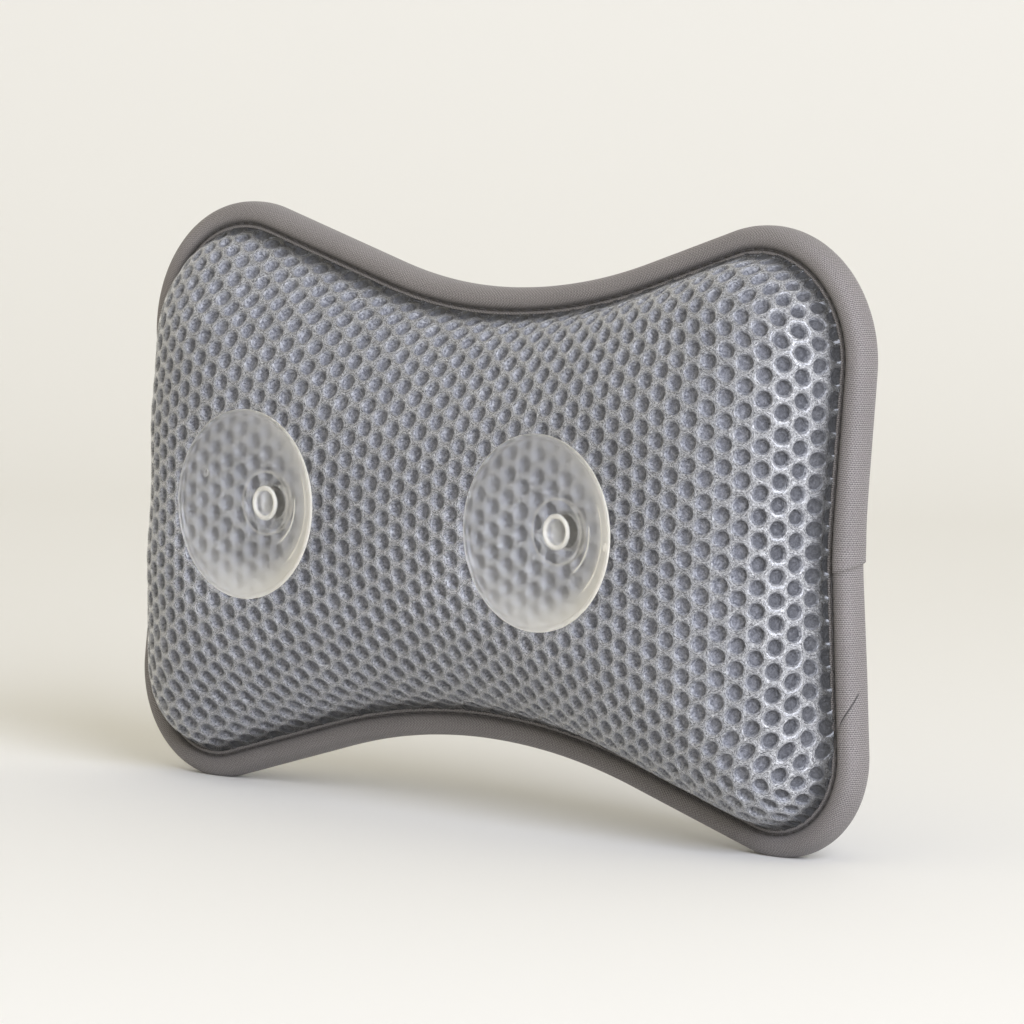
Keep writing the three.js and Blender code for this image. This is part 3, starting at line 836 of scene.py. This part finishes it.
# the nodes of a material or a group, with short ways to add them and to join them up
class NodeKit:
    def __init__(self, tree):
        self.nodes, self.links = tree.nodes, tree.links

    def add(self, kind, **settings):
        node = self.nodes.new("ShaderNode" + kind)
        for name, value in settings.items():
            setattr(node, name, value)
        return node

    # a plain value is set on its socket, and an output is joined to it
    def feed(self, node, sockets):
        for name, value in sockets.items():
            if isinstance(value, (int, float, tuple)):
                node.inputs[name].default_value = value
            else:
                self.links.new(value, node.inputs[name])
        return node

    def math(self, kind, *values):
        return self.feed(self.add("Math", operation=kind), dict(enumerate(values))).outputs[0]

    def scaled(self, value, factor, start):
        return self.math("MULTIPLY_ADD", value, factor, start)

    def mix(self, share, first, second, kind="MIX"):
        node = self.add("Mix", data_type="RGBA", blend_type=kind)
        return self.feed(node, {0: share, 6: first, 7: second}).outputs[2]

    def shade(self, colour, factor):
        return self.mix(1, colour, factor, "MULTIPLY")

    def step(self, value, low, high):
        node = self.add("MapRange", interpolation_type="SMOOTHSTEP")
        return self.feed(node, {"Value": value, "From Min": low, "From Max": high}).outputs["Result"]

    def attribute(self, name):
        return self.add("Attribute", attribute_name=name).outputs["Fac"]

    def split(self, vector):
        return self.feed(self.add("SeparateXYZ"), {0: vector}).outputs[:2]

    def fibre(self, vector, fineness):
        node = self.add("Group", node_tree=fibreGrain)
        self.feed(node, {"Vector": vector, "Fineness": fineness})
        return [node.outputs[name] for name in ("Grain", "Filament", "Tone")]

    def bump(self, shader, height, strength, distance):
        node = self.feed(self.add("Bump"), {"Height": height, "Strength": strength, "Distance": distance})
        self.feed(shader, {"Normal": node.outputs["Normal"]})


def newMaterial(name):
    material = bpy.data.materials.new(name)
    material.use_nodes = True
    return material, NodeKit(material.node_tree), material.node_tree.nodes["Principled BSDF"]


# fine fibres for any cloth: bright filaments where two fields of noise cross their middle, and a slow tone;
# each field has a share of the fineness, and a detail
fibreLook = {
    "grain": (1.0, 2), "grainSpan": (0.34, 0.66), "tone": (0.02, 2),
    "filaments": (((0.5, 1), 0.06), ((0.73, 1), 0.055)),
}


def fibreGroup(f):
    group = bpy.data.node_groups.new("fibreGrain", "ShaderNodeTree")
    group.interface.new_socket("Vector", in_out="INPUT", socket_type="NodeSocketVector")
    group.interface.new_socket("Fineness", in_out="INPUT", socket_type="NodeSocketFloat")
    for name in ("Grain", "Filament", "Tone"):
        group.interface.new_socket(name, in_out="OUTPUT", socket_type="NodeSocketFloat")
    kit = NodeKit(group)
    inlet, outlet = group.nodes.new("NodeGroupInput"), group.nodes.new("NodeGroupOutput")

    def field(share, detail):
        scale = kit.math("MULTIPLY", inlet.outputs["Fineness"], share)
        node = kit.add("TexNoise")
        kit.feed(node, {"Vector": inlet.outputs["Vector"], "Scale": scale, "Detail": detail})
        return node.outputs["Fac"]

    def ridge(value, width):
        off = kit.math("ABSOLUTE", kit.math("SUBTRACT", value, 0.5))
        return kit.step(off, width, 0)

    ridges = [ridge(field(*place), width) for place, width in f["filaments"]]
    kit.feed(outlet, {
        "Grain": kit.step(field(*f["grain"]), *f["grainSpan"]),
        "Filament": kit.math("MAXIMUM", *ridges),
        "Tone": field(*f["tone"]),
    })
    return group


fibreGrain = fibreGroup(fibreLook)


# blue-grey knit: pale fuzzy bars, filaments that run round the holes, and darker floors
meshLook = {
    "circling": 3.5, "fineness": 1250, "filament": 0.55, "grain": 0.45,
    # dark and light fibres; where the knit leans sideways its bars carry a painted highlight and its floors
    # painted shade
    "bars": ((0.066, 0.069, 0.085, 1), (0.67, 0.68, 0.71, 1)),
    "glintBars": ((0.085, 0.088, 0.105, 1), (0.95, 0.96, 0.99, 1)),
    "walls": ((0.122, 0.127, 0.151, 1), (0.52, 0.53, 0.57, 1)),
    "floors": ((0.118, 0.122, 0.145, 1), (0.33, 0.336, 0.370, 1)),
    "shadedFloors": ((0.058, 0.061, 0.074, 1), (0.165, 0.169, 0.188, 1)),
    "wallPit": (0.03, 0.26), "floorPit": (0.70, 1.0), "mattPit": (0.05, 0.5),
    # factor and start of what each value sets; the hem's sets painted shade beside the tape
    "tone": (0.30, 0.85), "hemShade": (-0.92, 1.0), "roughness": (0.45, 0.22), "coat": (-1.0, 1.0),
    "shader": {"Coat Roughness": 0.2, "Specular IOR Level": 1, "Sheen Weight": 0.08, "Sheen Roughness": 0.4},
    "bump": (0.9, 0.0003),
}


def meshMaterial(m):
    material, kit, shader = newMaterial("spacer_mesh")
    pit, hemShade, reach, sideLight = (kit.attribute(name) for name in ("pit", "hemShade", "reach", "sideLight"))
    along, upward = kit.split(kit.add("UVMap", uv_map="fabric").outputs["UV"])
    circling = kit.add("CombineXYZ")
    kit.feed(circling, {"X": along, "Y": upward, "Z": kit.math("MULTIPLY", reach, m["circling"])})
    grain, filament, tone = kit.fibre(circling.outputs[0], m["fineness"])
    fuzz = kit.scaled(filament, m["filament"], kit.math("MULTIPLY", grain, m["grain"]))
    # bars lit and holes shaded by paint where the surface leans sideways
    bars = kit.mix(sideLight, kit.mix(fuzz, *m["bars"]), kit.mix(fuzz, *m["glintBars"]))
    floors = kit.mix(sideLight, kit.mix(fuzz, *m["floors"]), kit.mix(fuzz, *m["shadedFloors"]))
    knit = kit.mix(kit.step(pit, *m["wallPit"]), bars, kit.mix(fuzz, *m["walls"]))
    knit = kit.mix(kit.step(pit, *m["floorPit"]), knit, floors)
    knit = kit.shade(knit, kit.scaled(tone, *m["tone"]))
    # painted shade at the hem, where the mesh tucks under the tape
    knit = kit.shade(knit, kit.scaled(hemShade, *m["hemShade"]))
    low = kit.step(pit, *m["mattPit"])
    kit.feed(shader, {
        "Base Color": knit,
        "Roughness": kit.scaled(low, *m["roughness"]),
        "Coat Weight": kit.scaled(low, *m["coat"]),
        **m["shader"],
    })
    kit.bump(shader, fuzz, *m["bump"])
    return material


# warm grey tape in a fine square weave
tapeLook = {
    "ribPitch": 0.00062, "pickPitch": 0.00086, "overPitch": 0.00124, "over": 0.30, "rib": (0.34, 0.5),
    "fineness": 2400, "weave": 0.72, "grain": 0.28, "tone": (0.24, 0.88), "dark": (-0.80, 1.0),
    "fibres": ((0.046, 0.041, 0.040, 1), (0.39, 0.360, 0.354, 1)),
    # the painted fold shade: its half width, and where it starts and ends on the face
    "foldWidth": (0.00062, 0.00012), "foldStart": (0.0006, 0.0018), "foldEnd": (0.0090, 0.0072),
    "shader": {"Roughness": 0.62, "Sheen Weight": 0.12}, "bump": (0.8, 0.00022),
}


def tapeMaterial(t, m):
    material, kit, shader = newMaterial("woven_tape")
    place = kit.add("UVMap", uv_map="tape").outputs["UV"]
    along, across = kit.split(place)

    def wave(value, pitch):
        return kit.math("SINE", kit.math("MULTIPLY", value, 2 * math.pi / pitch))

    over = kit.math("MULTIPLY", wave(along, m["overPitch"]), wave(across, m["pickPitch"]))
    weave = kit.scaled(over, m["over"], kit.scaled(wave(along, m["ribPitch"]), *m["rib"]))
    grain, _, tone = kit.fibre(place, m["fineness"])
    mixed = kit.scaled(weave, m["weave"], kit.math("MULTIPLY", grain, m["grain"]))
    colour = kit.shade(kit.mix(mixed, *m["fibres"]), kit.scaled(tone, *m["tone"]))
    # the fold line across the back face below the lap, painted as a thin line of shade
    section = tapeSection(t)
    face = kit.math("SUBTRACT", float(acrossTape(section)[len(section) // 2]), across)
    line = kit.scaled(face, t["creaseLean"], t["creaseStart"] - t["creaseLean"] * t["creaseFrom"])
    off = kit.math("ABSOLUTE", kit.math("SUBTRACT", along, line))
    fold = kit.step(off, *m["foldWidth"])
    for name in ("foldStart", "foldEnd"):
        fold = kit.math("MULTIPLY", fold, kit.step(face, *m[name]))
    # painted shade: the valley, the underside and the fold line darken the tape's colour
    dark = kit.math("MAXIMUM", kit.attribute("seamAndShade"), fold)
    colour = kit.shade(colour, kit.scaled(dark, *m["dark"]))
    kit.feed(shader, {"Base Color": colour, **m["shader"]})
    kit.bump(shader, mixed, *m["bump"])
    return material


# dark sewing thread and white filling, plain but for their fibres
threadLook = {
    "fineness": 3000, "roughness": 0.6, "fibres": ((0.030, 0.027, 0.026, 1), (0.095, 0.088, 0.085, 1)),
}
fillLook = {
    "fineness": 600, "roughness": 0.9, "fibres": ((0.55, 0.54, 0.51, 1), (0.80, 0.79, 0.76, 1)),
}


def plainMaterial(name, m):
    material, kit, shader = newMaterial(name)
    grain = kit.fibre(kit.add("TexCoord").outputs["Object"], m["fineness"])[0]
    kit.feed(shader, {"Base Color": kit.mix(grain, *m["fibres"]), "Roughness": m["roughness"]})
    return material


# clear soft moulding, milky where it is thick or seen edge-on; it lets most light through to the mesh
clearLook = {
    "hazeScale": 70, "hazeDetail": 3, "roughness": (0.16, 0.24),
    "shader": {
        "Base Color": (0.985, 0.98, 0.965, 1), "Transmission Weight": 1.0, "IOR": 1.14,
        "Coat Weight": 0.45, "Coat Roughness": 0.10,
    },
    "facing": 0.5, "edgePower": 2.2, "edge": 0.19, "patchSpan": (0.45, 0.75), "patch": 0.025, "thick": 0.80,
    "milk": (0.97, 0.945, 0.87, 1), "through": 0.35, "shadow": (0.90, 0.895, 0.88, 1),
}


def cupMaterial(m):
    material, kit, shader = newMaterial("clear_cup")
    noiseNode = kit.add("TexNoise")
    place = kit.add("TexCoord").outputs["Object"]
    kit.feed(noiseNode, {"Vector": place, "Scale": m["hazeScale"], "Detail": m["hazeDetail"]})
    haze = noiseNode.outputs["Fac"]
    kit.feed(shader, {"Roughness": kit.scaled(haze, *m["roughness"]), **m["shader"]})
    facing = kit.feed(kit.add("LayerWeight"), {"Blend": m["facing"]}).outputs["Facing"]
    edge = kit.math("MULTIPLY", kit.math("POWER", facing, m["edgePower"]), m["edge"])
    patch = kit.scaled(kit.step(haze, *m["patchSpan"]), m["patch"], edge)
    patch = kit.math("MULTIPLY", patch, kit.attribute("skin"))
    # the thick share brings both milkiness and painted highlights
    veil = kit.scaled(kit.attribute("thick"), m["thick"], patch)

    def plain(kind, colour):
        return kit.feed(kit.add(kind), {"Color": colour}).outputs[0]

    def blend(share, first, second):
        return kit.feed(kit.add("MixShader"), {0: share, 1: first, 2: second}).outputs[0]

    milk = blend(m["through"], plain("BsdfDiffuse", m["milk"]), plain("BsdfTranslucent", m["milk"]))
    moulding = blend(veil, shader.outputs[0], milk)
    inShadow = kit.add("LightPath").outputs["Is Shadow Ray"]
    surface = blend(inShadow, moulding, plain("BsdfTransparent", m["shadow"]))
    kit.feed(kit.nodes["Material Output"], {"Surface": surface})
    return material


def paint(piece, material):
    piece.data.materials.clear()
    piece.data.materials.append(material)


def finishPiece(piece, material, body, node):
    paint(piece, material)
    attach(piece, body)
    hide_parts(node)


knit, clearCup = meshMaterial(meshLook), cupMaterial(clearLook)
sewing = plainMaterial("sewing_thread", threadLook)
for piece, material, slot, node in (
    (backPanel, knit, "mesh", "back_cover"),
    (frontPanel, knit, "mesh", "front_cover"),
    (filling, plainMaterial("white_filling", fillLook), "filling", "filling_core"),
    (tape, tapeMaterial(tapeShape, tapeLook), "binding", "edge_binding"),
    (backStitches, sewing, "thread", "back_seam_thread"),
    (frontStitches, sewing, "thread", "front_seam_thread"),
):
    finishPiece(piece, material, "pillow", node)
for side, cup in cups.items():
    finishPiece(cup, clearCup, side + "_cup", side + "_suction_cup")
    paint(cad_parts[side + "_backing_washer"], clearCup)
print("materials done")


# pale floor that sweeps up into a backdrop
stageShape = {
    "half": 4.0, "behind": 2.2, "height": 4.0, "bend": 0.9, "bendSteps": 16,
    "shader": {"Base Color": (0.89, 0.886, 0.868, 1), "Roughness": 0.8},
}


def makeStage(s):
    back = viewAxes(photoView)[2]
    bm = bmesh.new()
    bmesh.ops.create_grid(bm, x_segments=1, y_segments=1, size=s["half"])
    far = [e for e in bm.edges if all(v.co.y > 0 for v in e.verts)]
    for vert in bm.verts:
        if vert.co.y > 0:
            vert.co.y = s["behind"]
    wall = bmesh.ops.extrude_edge_only(bm, edges=far)["geom"]
    raised = [v for v in wall if isinstance(v, bmesh.types.BMVert)]
    bmesh.ops.translate(bm, verts=raised, vec=(0, 0, s["height"]))
    bmesh.ops.bevel(bm, geom=far, offset=s["bend"], affect="EDGES", segments=s["bendSteps"], profile=0.5,
                    material=-1)
    faceOutward(bm)
    turn = math.atan2(-back.y, -back.x) - math.pi / 2
    bmesh.ops.transform(bm, verts=bm.verts, matrix=Matrix.Rotation(turn, 4, "Z"))
    floor = pieceFrom("studio_floor", bm)
    material, kit, shader = newMaterial("pale_paper")
    kit.feed(shader, s["shader"])
    paint(floor, material)


makeStage(stageShape)


# soft studio light: one broad lamp at the pillow's right-hand end, and a bright room
lightShape = {
    "toLamp": (0.86, -0.36, 0.39), "distance": 3.4, "size": 2.1, "power": 104.0,
    "lampColour": (0.95, 1.0, 1.17), "room": {"Color": (1.0, 0.93, 0.75, 1), "Strength": 0.63},
}


def makeLights(s):
    light = bpy.data.lights.new("broadLamp", "AREA")
    light.shape = "DISK"
    light.size = s["size"]
    light.energy = s["power"]
    light.color = s["lampColour"]
    lamp = newObject("broadLamp", light)
    way = Vector(s["toLamp"]).normalized()
    lamp.location = inFrame((0, 0), 0) + way * s["distance"]
    lamp.rotation_mode = "QUATERNION"
    lamp.rotation_quaternion = way.to_track_quat("Z", "Y")
    world = bpy.data.worlds.new("brightRoom")
    world.use_nodes = True
    kit = NodeKit(world.node_tree)
    kit.feed(kit.nodes["Background"], s["room"])
    scene.world = world


makeLights(lightShape)
